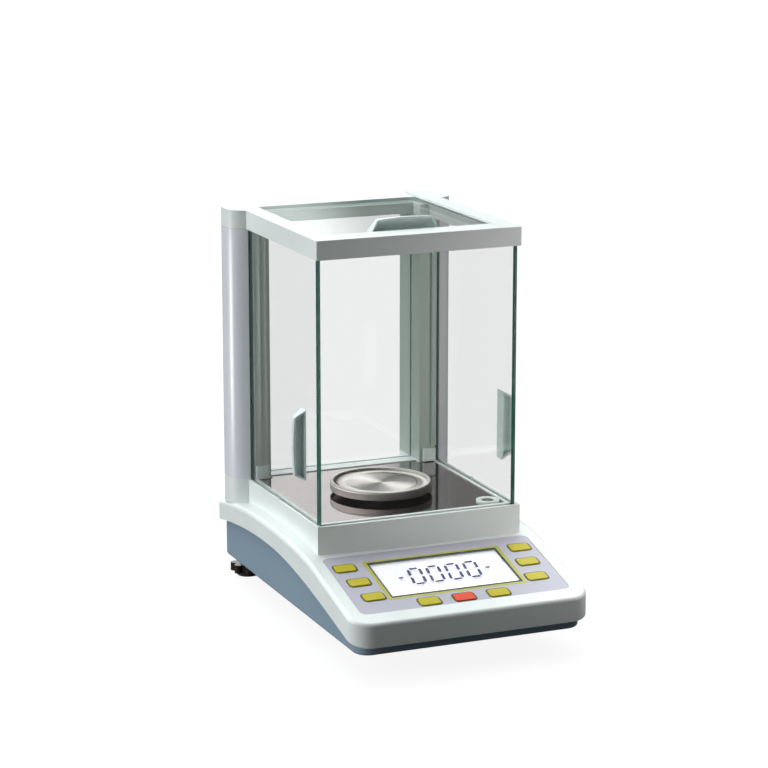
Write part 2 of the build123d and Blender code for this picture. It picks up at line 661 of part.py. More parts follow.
def cell_guides():
    """The upper and lower flexure plates that keep the load receiver upright."""
    guides = []
    for z, rear in ((CELL_TOP, PIVOT_Y + 4), (CELL_FLOOR + 6, PIVOT_Y - 4)):
        plate = block(-30, 30, PAN_Y - 8, rear, z, z + 0.8)
        plate -= block(-20, 20, PAN_Y + 7.5, 42, z - 1, z + 2)
        guides.append(plate - post(0, PAN_Y, z - 1, z + 2, 6.0))
    return guides


def cell_lever():
    """The lever that carries the coil, with the round boss of its pivot."""
    beam = block(-4, 4, 38.5, MAGNET_Y, LEVER_Z - 3, LEVER_Z + 3)
    boss = Pos(0, PIVOT_Y, LEVER_Z) * Rot(0, 90, 0) * Cylinder(3.4, 16)
    return beam + boss + post(0, MAGNET_Y, LEVER_Z - 3, LEVER_Z + 3, 8)


def lever_coil():
    """The coil under the lever's far end, in the magnet's gap."""
    return post(0, MAGNET_Y, LEVER_Z - 14, LEVER_Z - 3, 11.5) - post(0, MAGNET_Y, 40, LEVER_Z - 4, 9.5)


def magnet_pot():
    """The permanent magnet's pot, open towards the coil."""
    base = CELL_FLOOR + 6
    pot = post(0, MAGNET_Y, base, LEVER_Z - 6, 20) - post(0, MAGNET_Y, base + 5, 100, 13.5)
    return pot + post(0, MAGNET_Y, base + 4, LEVER_Z - 7, 7.5)


# ---- feet ---------------------------------------------------------------------------------------------
def foot_knob():
    """The rear foot's knob with seven finger lobes."""
    lobes = Circle(12.2)
    for i in range(7):
        turn = 2 * pi * (i + 0.5) / 7
        lobes += Pos(12.0 * cos(turn), 12.0 * sin(turn)) * Circle(4.0)
    knob = Pos(FOOT_X, FOOT_Y, 4) * extrude(lobes, 7.6)
    knob += post(FOOT_X, FOOT_Y, 11.5, 14.0, 7)
    return knob - post(FOOT_X, FOOT_Y, 6, 20, FOOT_THREAD - 0.05)


def foot_stud():
    """The threaded stud that turns with the knob."""
    return post(FOOT_X, FOOT_Y, 6, 44, FOOT_THREAD - 0.05)


def foot_pad():
    """The soft pad under the knob."""
    pad = post(FOOT_X, FOOT_Y, 0, 4, 10)
    return fillet(pad.edges().sort_by(Axis.Z)[0], 0.6)


def foot_inserts():
    """The threaded brass inserts in the lower tray."""
    insert = post(FOOT_X, FOOT_Y, CASE_BOTTOM, FOOT_TOP, 7) - post(FOOT_X, FOOT_Y, 10, 40, FOOT_THREAD)
    return both_sides(insert)


def front_feet():
    """The two fixed front feet."""
    foot = Pos(60, -88, CASE_BOTTOM / 2) * Cone(8.5, 11, CASE_BOTTOM)
    return both_sides(fillet(foot.edges().sort_by(Axis.Z)[0], 0.8))


def main():
    os.makedirs("parts", exist_ok=True)
    save("top_case", top_case())
    save("bottom_case", bottom_case())
    save("case_screws", *case_screws())
    save("chamber_base", chamber_base())
    save("floor_plate", floor_plate())
    save("door_tracks", *door_tracks())
    save("door_guides", *door_guides())
    save_pair("column", outer_column())
    save_pair("inner_post", inner_post())
    save("column_feet", *column_feet())
    save("column_screws", *column_screws())
    save("top_frame", top_frame())
    save("top_crossbar", top_crossbar())
    save("front_glass", front_glass())
    save("rear_glass", rear_glass())
    save_pair("door_glass", side_door_glass())
    save_pair("door_handle", side_door_handle())
    save("top_door_glass", top_door_glass())
    save("top_door_handle", top_door_handle())
    save("keypad_panel", keypad_panel())
    save("display_bezel", display_bezel())
    save("display_window", display_window())
    save("display_module", display_module())
    for name, (x, v) in KEYS.items():
        save(name, key_cap(x, v))
    save("key_switches", *key_switches())
    save("key_board", key_board())
    save("main_board", main_board())
    save("transformer", transformer())
    save("power_inlet", power_inlet())
    save("data_port", data_port())
    save("level_housing", level_housing())
    save("level_vial", level_vial())
    save("pan", pan())
    save("pan_support", pan_support())
    save("load_receiver", load_receiver())
    save("cell_frame", cell_frame())
    save("cell_guides", *cell_guides())
    save("cell_lever", cell_lever())
    save("lever_coil", lever_coil())
    save("magnet_pot", magnet_pot())
    save_pair("foot_knob", foot_knob())
    save_pair("foot_stud", foot_stud())
    save_pair("foot_pad", foot_pad())
    save("foot_inserts", *foot_inserts())
    save("front_feet", *front_feet())


main()
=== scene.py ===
"""The looks of the analytical balance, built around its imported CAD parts. Metres throughout."""

import json
from math import cos, pi, sin

import bmesh
import bpy
from mathutils import Matrix, Vector
from mathutils.geometry import convex_hull_2d


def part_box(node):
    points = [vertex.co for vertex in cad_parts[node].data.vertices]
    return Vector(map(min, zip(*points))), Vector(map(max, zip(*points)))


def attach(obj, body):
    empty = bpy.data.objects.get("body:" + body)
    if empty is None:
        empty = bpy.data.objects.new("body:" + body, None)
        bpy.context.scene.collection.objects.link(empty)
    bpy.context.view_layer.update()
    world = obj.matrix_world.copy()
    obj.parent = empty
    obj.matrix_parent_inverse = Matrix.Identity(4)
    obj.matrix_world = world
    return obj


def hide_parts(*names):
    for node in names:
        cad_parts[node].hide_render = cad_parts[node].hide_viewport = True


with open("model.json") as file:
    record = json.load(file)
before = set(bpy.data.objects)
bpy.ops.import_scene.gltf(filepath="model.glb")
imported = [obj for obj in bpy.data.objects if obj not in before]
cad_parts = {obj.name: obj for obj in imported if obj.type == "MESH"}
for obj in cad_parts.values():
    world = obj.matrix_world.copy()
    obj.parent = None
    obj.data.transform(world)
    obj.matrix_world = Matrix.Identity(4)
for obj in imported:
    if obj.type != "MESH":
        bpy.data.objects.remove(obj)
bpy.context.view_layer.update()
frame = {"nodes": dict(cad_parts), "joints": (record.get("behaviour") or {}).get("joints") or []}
NODES = frame["nodes"]
MM = 0.001

# ---- camera -----------------------------------------------------------------------------
CAMERA_PLACE = (-0.88635, -2.08009, 0.73079)
CAMERA_BACK = (-0.3781, -0.8977, 0.2264)
CAMERA_LENS = 125.6

# ---- keypad, in the deck's own plane: x to the right, y up the slope, z outwards ---------------
# Heights are from the middle of the display window's thickness.
PANEL_FACE = 1.0 * MM
WINDOW_FACE = 0.8 * MM
INK = 0.06 * MM
KEY_HEIGHT = 11.0 * MM
KEY_CORNER = 2.5 * MM
OUTLINE_GAP = 0.3 * MM
OUTLINE_WIDTH = 1.2 * MM
# The display rim: a dark band inside the yellow border, partly the recess walls' own dark colour and
# partly painted shade in the recess.
RIM_SIZE = (119.8 * MM, 57.8 * MM)
RIM_SIDE = 1.3 * MM
RIM_END = 2.3 * MM
RIM_FACE = WINDOW_FACE + 0.25 * MM
DIGITS = 4
DIGIT_HEIGHT = 24.0 * MM
DIGIT_WIDTH = 10.5 * MM
DIGIT_PITCH = 17.0 * MM
DIGIT_STROKE = 2.6 * MM
DIGIT_GAP = 1.0 * MM
DIGIT_SLANT = 0.12
DASH_LENGTH = 5.0 * MM

# ---- small pieces ------------------------------------------------------------------------------
THREAD_PITCH = 1.25 * MM
THREAD_DEPTH = 0.6 * MM
SEAM_PROUD = 0.05 * MM
SEAM_HALF = 0.18 * MM
SEAM_DEPTH = 0.8 * MM
CLIP_Y = 42 * MM
CLIP_WIDTH = 1.9 * MM
CLIP_LENGTH = 5 * MM
CLIP_INSET = 1.0 * MM
CLIP_PROUD = 1.0 * MM
CLIP_SUNK = 0.3 * MM
CLIP_SOFT = 0.3 * MM
LENS_RADIUS = 5.6 * MM
LENS_DOME = 0.2 * MM
LENS_EDGE = 0.8 * MM
COLLAR_WALL = 1.9 * MM
LIQUID_DROP = 0.85 * MM
LIQUID_GAP = 0.1 * MM
BUBBLE_RADIUS = 2.1 * MM
BUBBLE_RISE = 0.4 * MM
VIAL_FLOOR = 2 * MM

# ---- glass -------------------------------------------------------------------------------------
# Which way each pane's wide faces look, and its edges' darkest and lightest green, which carry painted
# shade and painted light.
GLASS_TINT = (0.975, 0.978, 0.976)
# Edge greens: the glass's own green, painted dark on panes whose edges sit in shade, mid on the lit left
# door, pale on the rear and top panes lit from behind and above.
SHADED_EDGE_GREENS = ((0.02, 0.085, 0.065), (0.05, 0.17, 0.13))
HALF_LIT_EDGE_GREENS = ((0.10, 0.26, 0.23), (0.20, 0.42, 0.38))
LIT_EDGE_GREENS = ((0.40, 0.58, 0.55), (0.55, 0.72, 0.69))
GLASS = {
    "front_glass": ("Y", *SHADED_EDGE_GREENS),
    "rear_glass": ("Y", *LIT_EDGE_GREENS),
    "left_door_glass": ("X", *HALF_LIT_EDGE_GREENS),
    "right_door_glass": ("X", *SHADED_EDGE_GREENS),
    "top_door_glass": ("Z", *LIT_EDGE_GREENS),
}

# ---- light -----------------------------------------------------------------------------------
# Each lobe of the sky is where it aims, the cosine where it starts, the cosine where it is full,
# and its power.
SKY_COLOUR = (0.95, 1.0, 0.995)
SKY_FLOOR = 0.02
SKY_LOBES = [
    ((0.00, 0.55, 0.83), 0.72, 0.97, 4.0),
    ((-1.00, 0.05, 0.25), 0.70, 0.98, 3.3),
    ((0.235, 0.942, 0.242), 0.986, 0.9903, 1.15),
    ((0.52, 0.84, 0.22), 0.75, 0.95, 0.30),
]
SKY_SEEN = 1.06
# Each soft box is where it stands, what it faces, its width and height, its power and its colour.
RIGHT_BOX = ((0.27, -0.17, 0.22), (0.0, -0.02, 0.33), (0.2, 0.3), 0.62, (1.0, 0.97, 0.95))
STRIP_BOX = ((-0.674, 0.31, 0.11), (-0.1, 0.135, 0.11), (0.24, 0.22), 1.5, (1.0, 0.98, 0.91))
FLOOR_GLOW = 0.90
FLOOR_SEEN = 0.12
FLOOR_BOUNCE = 0.06


# ---- node helpers -------------------------------------------------------------------------
def node(made, kind, settings=None, **inputs):
    """A new node, with its settings and its unlinked inputs set."""
    new = made.node_tree.nodes.new(kind)
    for key, value in (settings or {}).items():
        setattr(new, key, value)
    for key, value in inputs.items():
        new.inputs[key].default_value = value
    return new


def link(made, source, target):
    made.node_tree.links.new(source, target)


def maths(made, operation, first, second=0.5):
    """One maths node. Each operand is a number or an output to link."""
    new = node(made, "ShaderNodeMath", {"operation": operation})
    for socket, value in zip(new.inputs, (first, second)):
        if isinstance(value, (int, float)):
            socket.default_value = value
        else:
            link(made, value, socket)
    return new.outputs[0]


def place(made):
    """The point being shaded, in metres in the part's frame."""
    return node(made, "ShaderNodeTexCoord").outputs["Object"]


def noise(made, size, detail=2.0, vector=None):
    """Noise whose features are about size metres across, from 0 to 1."""
    new = node(made, "ShaderNodeTexNoise", Scale=1 / size, Detail=detail)
    link(made, vector or place(made), new.inputs["Vector"])
    return new.outputs["Fac"]


def blend_colours(made, factor, low, high):
    """A colour that runs from low to high with factor."""
    new = node(made, "ShaderNodeMix", {"data_type": "RGBA"})
    link(made, factor, new.inputs[0])
    new.inputs[6].default_value = (*low, 1)
    new.inputs[7].default_value = (*high, 1)
    return new.outputs[2]


def between(made, factor, low, high):
    """A number that runs from low to high as factor runs from 0.3 to 0.7."""
    new = node(made, "ShaderNodeMapRange")
    link(made, factor, new.inputs["Value"])
    for name, value in (("From Min", 0.3), ("From Max", 0.7), ("To Min", low), ("To Max", high)):
        new.inputs[name].default_value = value
    return new.outputs["Result"]


def bump(made, shader, height, depth):
    """Relief of this depth, from a height of 0 to 1."""
    new = node(made, "ShaderNodeBump", Distance=depth)
    link(made, height, new.inputs["Height"])
    link(made, new.outputs["Normal"], shader.inputs["Normal"])


def principled(name, colour, roughness, metallic=0.0, coat=0.0):
    """A new material and its Principled shader."""
    made = bpy.data.materials.new(name)
    made.use_nodes = True
    shader = made.node_tree.nodes["Principled BSDF"]
    shader.inputs["Base Color"].default_value = (*colour, 1)
    shader.inputs["Roughness"].default_value = roughness
    shader.inputs["Metallic"].default_value = metallic
    shader.inputs["Coat Weight"].default_value = coat
    return made, shader


def shade(colour, factor):
    return tuple(min(1.0, c * factor) for c in colour)


# ---- materials ------------------------------------------------------------------------------
def moulded(name, colour, roughness=0.45, grain=0.35 * MM, spread=0.03, coat=0.0, specular=0.5):
    """Moulded plastic: fine even grain, faint cloudiness in the colour and in the gloss."""
    made, shader = principled(name, colour, roughness, coat=coat)
    shader.inputs["Specular IOR Level"].default_value = specular
    cloud = noise(made, 45 * MM, 3.0)
    mottle = blend_colours(made, cloud, shade(colour, 1 - spread), shade(colour, 1 + spread))
    link(made, mottle, shader.inputs["Base Color"])
    link(made, between(made, cloud, roughness - 0.04, roughness + 0.04), shader.inputs["Roughness"])
    bump(made, shader, noise(made, grain, 2.0), grain / 30)
    return made


def painted(name, colour, roughness=0.32):
    """Powder-coated metal: soft orange peel under a thin gloss."""
    made, shader = principled(name, colour, roughness, coat=0.5)
    shader.inputs["Coat Roughness"].default_value = 0.2
    cloud = noise(made, 70 * MM, 2.0)
    tint = blend_colours(made, cloud, shade(colour, 0.98), shade(colour, 1.02))
    link(made, tint, shader.inputs["Base Color"])
    bump(made, shader, noise(made, 1.1 * MM, 1.0), 0.01 * MM)
    return made


def metal(name, colour, roughness, stretch=(1, 1, 1), size=0.3 * MM, depth=0.004 * MM):
    """Bare metal with fine marks, drawn out along the axes that stretch makes small."""
    made, shader = principled(name, colour, roughness, metallic=1.0)
    mapped = node(made, "ShaderNodeVectorMath", {"operation": "MULTIPLY"})
    link(made, place(made), mapped.inputs[0])
    mapped.inputs[1].default_value = stretch
    marks = noise(made, size, 3.0, mapped.outputs[0])
    link(made, between(made, marks, roughness * 0.8, roughness * 1.25), shader.inputs["Roughness"])
    tint = blend_colours(made, marks, shade(colour, 0.93), shade(colour, 1.05))
    link(made, tint, shader.inputs["Base Color"])
    bump(made, shader, marks, depth)
    return made


def from_axis(made, centre):
    """The level vector away from an upright axis through centre, and its length in metres."""
    shifted = node(made, "ShaderNodeVectorMath", {"operation": "SUBTRACT"})
    link(made, place(made), shifted.inputs[0])
    shifted.inputs[1].default_value = centre
    flat = node(made, "ShaderNodeVectorMath", {"operation": "MULTIPLY"})
    link(made, shifted.outputs[0], flat.inputs[0])
    flat.inputs[1].default_value = (1, 1, 0)
    length = node(made, "ShaderNodeVectorMath", {"operation": "LENGTH"})
    link(made, flat.outputs[0], length.inputs[0])
    return flat.outputs[0], length.outputs["Value"]


def turned(name, colour, roughness, centre):
    """Steel turned on a lathe: fine rings, and the fan-shaped shine that they give."""
    made, shader = principled(name, colour, roughness, metallic=1.0)
    shader.inputs["Anisotropic"].default_value = 1.0
    outwards, distance = from_axis(made, centre)
    around = node(made, "ShaderNodeVectorMath", {"operation": "CROSS_PRODUCT"})
    around.inputs[0].default_value = (0, 0, 1)
    link(made, outwards, around.inputs[1])
    link(made, around.outputs[0], shader.inputs["Tangent"])
    line = node(made, "ShaderNodeTexNoise", {"noise_dimensions": "1D"}, Scale=1.0, Detail=3.0)
    link(made, maths(made, "MULTIPLY", distance, 1 / (0.3 * MM)), line.inputs["W"])
    rough = between(made, line.outputs["Fac"], roughness * 0.85, roughness * 1.15)
    link(made, rough, shader.inputs["Roughness"])
    tint = blend_colours(made, line.outputs["Fac"], shade(colour, 0.85), shade(colour, 1.1))
    link(made, tint, shader.inputs["Base Color"])
    return made


def thin_clear(made, tint, gloss_colour, roughness, least, most):
    """A clear sheet that mirrors more at a glancing view, from least to least plus most."""
    clear = node(made, "ShaderNodeBsdfTransparent", Color=(*tint, 1))
    gloss = node(made, "ShaderNodeBsdfGlossy", Color=(*gloss_colour, 1), Roughness=roughness)
    facing = node(made, "ShaderNodeLayerWeight", Blend=0.5).outputs["Facing"]
    shine = maths(made, "MULTIPLY_ADD", maths(made, "POWER", facing, 5.0), most)
    shine.node.inputs[2].default_value = least
    return mixed(made, shine, clear.outputs[0], gloss.outputs[0])


def mixed(made, factor, first, second):
    """A shader that runs from first to second with factor."""
    new = node(made, "ShaderNodeMixShader")
    for source, socket in zip((factor, first, second), new.inputs):
        link(made, source, socket)
    return new.outputs[0]


def float_glass(name, axis, shaded_edge_green, glinting_edge_green):
    """Clear pane whose wide faces are square to axis. All its other faces are ground green edges,
    mottled between a green with painted shade and a lighter green painted as glints.
    """
    made = bpy.data.materials.new(name)
    made.use_nodes = True
    edge = made.node_tree.nodes["Principled BSDF"]
    edge.inputs["Roughness"].default_value = 0.22
    edge.inputs["Coat Weight"].default_value = 0.4
    # Edge colour: noise between painted shade and painted glints on the green edge.
    depth = blend_colours(made, noise(made, 9 * MM, 3.0), shaded_edge_green, glinting_edge_green)
    link(made, depth, edge.inputs["Base Color"])
    pane = thin_clear(made, GLASS_TINT, (0.95, 1.0, 0.98), 0.0, 0.03, 0.5)
    parts = node(made, "ShaderNodeSeparateXYZ")
    link(made, node(made, "ShaderNodeTexCoord").outputs["Normal"], parts.inputs[0])
    across = maths(made, "GREATER_THAN", maths(made, "ABSOLUTE", parts.outputs[axis]), 0.8)
    whole = mixed(made, across, edge.outputs[0], pane)
    link(made, whole, made.node_tree.nodes["Material Output"].inputs["Surface"])
    return made


def clear_plastic(name, tint, least=0.04, most=0.7):
    """A thin clear window or lens."""
    made = bpy.data.materials.new(name)
    made.use_nodes = True
    nodes = made.node_tree.nodes
    nodes.remove(nodes["Principled BSDF"])
    sheet = thin_clear(made, tint, (1, 1, 1), 0.03, least, most)
    link(made, sheet, nodes["Material Output"].inputs["Surface"])
    return made


def dark_mirror(name):
    """Polished dark plate: a strong clean reflection with a faint warm cast and light wipe marks."""
    made, shader = principled(name, (0.42, 0.35, 0.35), 0.06, metallic=1.0)
    wipe = noise(made, 30 * MM, 4.0)
    link(made, between(made, wipe, 0.03, 0.075), shader.inputs["Roughness"])
    tint = blend_colours(made, wipe, (0.40, 0.335, 0.335), (0.44, 0.37, 0.37))
    link(made, tint, shader.inputs["Base Color"])
    return made


def circuit_board(name):
    """Green solder mask over a net of slightly raised tracks."""
    made, shader = principled(name, (0.02, 0.2, 0.08), 0.3, coat=0.3)
    brick = node(made, "ShaderNodeTexBrick", Scale=260.0)
    brick.inputs["Mortar Size"].default_value = 0.06
    link(made, place(made), brick.inputs["Vector"])
    tint = blend_colours(made, brick.outputs["Fac"], (0.015, 0.16, 0.06), (0.05, 0.32, 0.12))
    link(made, tint, shader.inputs["Base Color"])
    bump(made, shader, brick.outputs["Fac"], 0.04 * MM)
    return made


def layered(name, colour, pitch, metallic, roughness):
    """Stacked sheets or wound wire: dark lines at an even pitch, one above another."""
    made, shader = principled(name, colour, roughness, metallic=metallic)
    wave = node(made, "ShaderNodeTexWave", {"bands_direction": "Z"}, Scale=2 * pi / pitch / 20)
    link(made, place(made), wave.inputs["Vector"])
    tint = blend_colours(made, wave.outputs["Fac"], shade(colour, 0.45), colour)
    link(made, tint, shader.inputs["Base Color"])
    bump(made, shader, wave.outputs["Fac"], 0.15 * MM)
    return made


def liquid_crystal(name):
    """The display's pale cell, with a faint even tone of its own light."""
    made, shader = principled(name, (0.9, 0.91, 0.93), 0.35)
    cloud = noise(made, 60 * MM, 1.0)
    tint = blend_colours(made, cloud, (0.86, 0.87, 0.9), (0.95, 0.95, 0.97))
    link(made, tint, shader.inputs["Base Color"])
    shader.inputs["Emission Color"].default_value = (0.95, 0.96, 1.0, 1)
    shader.inputs["Emission Strength"].default_value = 0.35
    return made


def make_materials():
    """One finished material for each of the record's slots."""
    pan_centre = (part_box("pan")[0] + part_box("pan")[1]) / 2
    return {
        "white_plastic": moulded("white_plastic", (0.80, 0.84, 0.83), 0.38, coat=0.1),
        "blue_grey_plastic": moulded("blue_grey_plastic", (0.24, 0.325, 0.41), 0.42),
        "white_painted_aluminium": painted("white_painted_aluminium", (0.78, 0.80, 0.86)),
        # grey_aluminium: darker and greener than the white frame paint, partly the parts' own grey and
        # partly painted shade for the rear crossbar, which stands in shade behind the glass.
        "grey_aluminium": painted("grey_aluminium", (0.50, 0.58, 0.53), 0.3),
        "dark_mirror": dark_mirror("dark_mirror"),
        "dark_liner": moulded("dark_liner", (0.03, 0.045, 0.05), 0.5),
        "handle_plastic": moulded("handle_plastic", (0.78, 0.88, 0.86), 0.28, coat=0.3),
        "lavender_overlay": moulded("lavender_overlay", (0.50, 0.49, 0.58), 0.5, 0.6 * MM),
        "yellow_border": moulded("yellow_border", (0.50, 0.47, 0.04), 0.4),
        "clear_window": clear_plastic("clear_window", (0.99, 0.99, 1.0)),
        "liquid_crystal": liquid_crystal("liquid_crystal"),
        "yellow_key": moulded("yellow_key", (0.56, 0.48, 0.01), 0.4, spread=0.05, specular=0.2),
        "red_key": moulded("red_key", (0.80, 0.07, 0.015), 0.4, spread=0.05, specular=0.2),
        "switch_black": moulded("switch_black", (0.03, 0.03, 0.03)),
        "circuit_board": circuit_board("circuit_board"),
        "iron_core": layered("iron_core", (0.2, 0.2, 0.2), 0.8 * MM, 0.8, 0.5),
        "black_plastic": moulded("black_plastic", (0.022, 0.015, 0.012), 0.3, coat=0.3),
        "port_metal": metal("port_metal", (0.62, 0.63, 0.64), 0.25, (1, 0.1, 1)),
        "level_ring": moulded("level_ring", (0.85, 0.88, 0.88), 0.3, coat=0.3),
        "level_glass": clear_plastic("level_glass", (0.80, 0.88, 0.74), 0.02, 0.15),
        "stainless_steel": turned("stainless_steel", (0.50, 0.46, 0.44), 0.38, pan_centre),
        "cell_aluminium": metal("cell_aluminium", (0.78, 0.79, 0.8), 0.3, (1, 0.1, 1)),
        "spring_steel": metal("spring_steel", (0.6, 0.61, 0.63), 0.22, (0.1, 1, 1)),
        "copper_winding": layered("copper_winding", (0.72, 0.35, 0.15), 0.5 * MM, 1.0, 0.35),
        "magnet_iron": metal("magnet_iron", (0.42, 0.42, 0.43), 0.35, (1, 1, 0.1)),
        "zinc_steel": metal("zinc_steel", (0.66, 0.68, 0.70), 0.3, (1, 1, 1), 2 * MM),
        "brass_insert": metal("brass_insert", (0.78, 0.58, 0.22), 0.3, (1, 1, 0.1)),
        "black_rubber": moulded("black_rubber", (0.025, 0.025, 0.025), 0.7, 0.6 * MM),
    }


def paint_cad(materials):
    """Give each CAD node the finished material of its slot, and each pane its own glass."""
    for name, cad in NODES.items():
        for held in cad.material_slots:
            if name in GLASS:
                held.material = float_glass(f"{name}_glass", *GLASS[name])
            else:
                held.material = materials[held.material.name.split(".")[0]]


# ---- mesh helpers ------------------------------------------------------------------------------
def piece(name, mesh, material, body="base", matrix=None):
    """A finished piece that rides on a body and wears the material it is given."""
    made = bpy.data.objects.new(name, mesh)
    bpy.context.scene.collection.objects.link(made)
    if matrix is not None:
        made.matrix_world = matrix
    mesh.materials.append(material)
    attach(made, body)
    return made


def prism(bm, outline, low, high):
    """A closed plate of one outline, a list of (x, y), from low to high."""
    bottom = [bm.verts.new((x, y, low)) for x, y in outline]
    top = [bm.verts.new((x, y, high)) for x, y in outline]
    bm.faces.new(reversed(bottom))
    bm.faces.new(top)
    for i in range(len(outline)):
        j = (i + 1) % len(outline)
        bm.faces.new((bottom[i], bottom[j], top[j], top[i]))


def rounded(width, height, radius, steps=6):
    """The outline of a rounded rectangle about the origin."""
    points = []
    for turn, sx, sy in ((0, 1, 1), (1, -1, 1), (2, -1, -1), (3, 1, -1)):
        for i in range(steps + 1):
            angle = pi / 2 * (turn + i / steps)
            x = sx * (width / 2 - radius) + radius * cos(angle)
            y = sy * (height / 2 - radius) + radius * sin(angle)
            points.append((x, y))
    return points


def band(bm, outer, inner, low, high):
    """A closed flat ring between two outlines that have the same number of points."""
    loops = [
        [bm.verts.new((x, y, level)) for x, y in outline]
        for outline, level in ((outer, low), (outer, high), (inner, high), (inner, low))
    ]
    count = len(outer)
    for a, b in zip(loops, loops[1:] + loops[:1]):
        for i in range(count):
            j = (i + 1) % count
            bm.faces.new((a[i], a[j], b[j], b[i]))


def finished(bm, name, smooth=False):
    """The mesh of a bmesh, with its normals outwards."""
    bmesh.ops.recalc_face_normals(bm, faces=bm.faces)
    mesh = bpy.data.meshes.new(name)
    bm.to_mesh(mesh)
    bm.free()
    for polygon in mesh.polygons:
        polygon.use_smooth = smooth
    return mesh


# ---- keypad -------------------------------------------------------------------------------------
def deck_matrix():
    """The deck's plane, centred on the display window."""
    press = next(j for j in frame["joints"] if j["child"] == "key_front_middle")
    out = -Vector(press["axis"]).normalized()
    along = Vector((1, 0, 0))
    up = out.cross(along)
    low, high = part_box("display_window")
    matrix = Matrix((along, up, out)).transposed().to_4x4()
    matrix.translation = (low + high) / 2
    return matrix


def shifted(outline, middle):
    """An outline moved so that its origin is at middle."""
    return [(x + middle.x, y + middle.y) for x, y in outline]


def key_outlines(deck, material):
    """The dark printed line around each key."""
    bm = bmesh.new()
    keys = [j["child"] for j in frame["joints"] if j["child"].startswith("key_")]
    for name in keys:
        low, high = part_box(name)
        middle = deck.inverted() @ ((low + high) / 2)
        width = high.x - low.x + 2 * OUTLINE_GAP
        height = KEY_HEIGHT + 2 * OUTLINE_GAP
        corner = KEY_CORNER + OUTLINE_GAP
        inner = rounded(width, height, corner)
        outer = rounded(width + 2 * OUTLINE_WIDTH, height + 2 * OUTLINE_WIDTH, corner + OUTLINE_WIDTH)
        band(bm, shifted(outer, middle), shifted(inner, middle), PANEL_FACE - INK, PANEL_FACE + INK)
    piece("key_outlines", finished(bm, "key_outlines"), material, matrix=deck)


def bar(bm, start, end, low, high):
    """One bar of a digit, with pointed ends."""
    along = (end - start).normalized()
    side = Vector((-along.y, along.x)) * DIGIT_STROKE / 2
    tip = along * DIGIT_STROKE / 2
    outline = [start, start + tip - side, end - tip - side, end, end - tip + side, start + tip + side]
    prism(bm, [(point.x + DIGIT_SLANT * point.y, point.y) for point in outline], low, high)


def zero_bars(middle):
    """The six bars of a nought, each as its start and end."""
    half = DIGIT_WIDTH / 2
    rise = DIGIT_HEIGHT / 2
    corners = [(half, rise), (half, 0), (half, -rise), (-half, -rise), (-half, 0), (-half, rise)]
    corners = [Vector((x + middle, y)) for x, y in corners]
    for start, end in zip(corners, corners[1:] + corners[:1]):
        step = (end - start).normalized() * DIGIT_GAP
        yield start + step, end - step


def display_digits(deck, material):
    """A plain reading of noughts between two dashes."""
    bm = bmesh.new()
    low = WINDOW_FACE - INK / 2
    high = WINDOW_FACE + INK
    reach = DIGIT_PITCH * (DIGITS - 1) / 2
    for i in range(DIGITS):
        for start, end in zero_bars(i * DIGIT_PITCH - reach):
            bar(bm, start, end, low, high)
    for side in (-1, 1):
        middle = side * (reach + DIGIT_PITCH * 0.85)
        half = DASH_LENGTH / 2
        bar(bm, Vector((middle - half, 0)), Vector((middle + half, 0)), low, high)
    piece("display_digits", finished(bm, "display_digits"), material, matrix=deck)


def display_shade_rim(deck, material):
    """The dark line just inside the yellow border: partly the dark recess walls, partly painted shade in
    the recess.
    """
    bm = bmesh.new()
    width, height = RIM_SIZE
    outer = rounded(width, height, 0.5 * MM, 3)
    inner = rounded(width - 2 * RIM_SIDE, height - 2 * RIM_END, 0.4 * MM, 3)
    band(bm, outer, inner, WINDOW_FACE - INK / 2, RIM_FACE)
    piece("display_shade_rim", finished(bm, "display_shade_rim"), material, matrix=deck)


# ---- small pieces on the case and chamber ----------------------------------------------------------
def plan_outline(name, level):
    """The outline in plan of a convex CAD node's corners at one height."""
    mesh = NODES[name].data
    corners = [v.co.to_2d() for v in mesh.vertices if abs(v.co.z - level) < 0.2 * MM]
    return [corners[i] for i in convex_hull_2d(corners)]


def resized(outline, growth):
    """A convex outline whose corners stand further from its middle by growth."""
    middle = sum(outline, Vector((0, 0))) / len(outline)
    return [tuple(point + (point - middle).normalized() * growth) for point in outline]


def column_seams(material):
    """The fine joint between each column and its cap."""
    bm = bmesh.new()
    for side in ("left", "right"):
        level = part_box(f"{side}_column")[1].z
        outline = plan_outline(f"{side}_column", level)
        outer = resized(outline, SEAM_PROUD)
        inner = resized(outline, -SEAM_DEPTH)
        band(bm, outer, inner, level - SEAM_HALF, level + SEAM_HALF)
    piece("column_seams", finished(bm, "column_seams"), material)


def circle(x, y, radius, steps=48):
    """Points around a circle."""
    angles = [2 * pi * i / steps for i in range(steps)]
    return [(x + radius * cos(angle), y + radius * sin(angle)) for angle in angles]


def lathe(bm, x, y, profile, steps=48):
    """A surface turned about an upright axis from (radius, height) points. Ends at radius 0 close."""
    loops = []
    for radius, height in profile:
        if radius == 0:
            loops.append([bm.verts.new((x, y, height))])
        else:
            loops.append([bm.verts.new((px, py, height)) for px, py in circle(x, y, radius, steps)])
    for a, b in zip(loops, loops[1:]):
        for i in range(steps):
            j = (i + 1) % steps
            corners = [a[i % len(a)], a[j % len(a)], b[j % len(b)], b[i % len(b)]]
            bm.faces.new(list(dict.fromkeys(corners)))


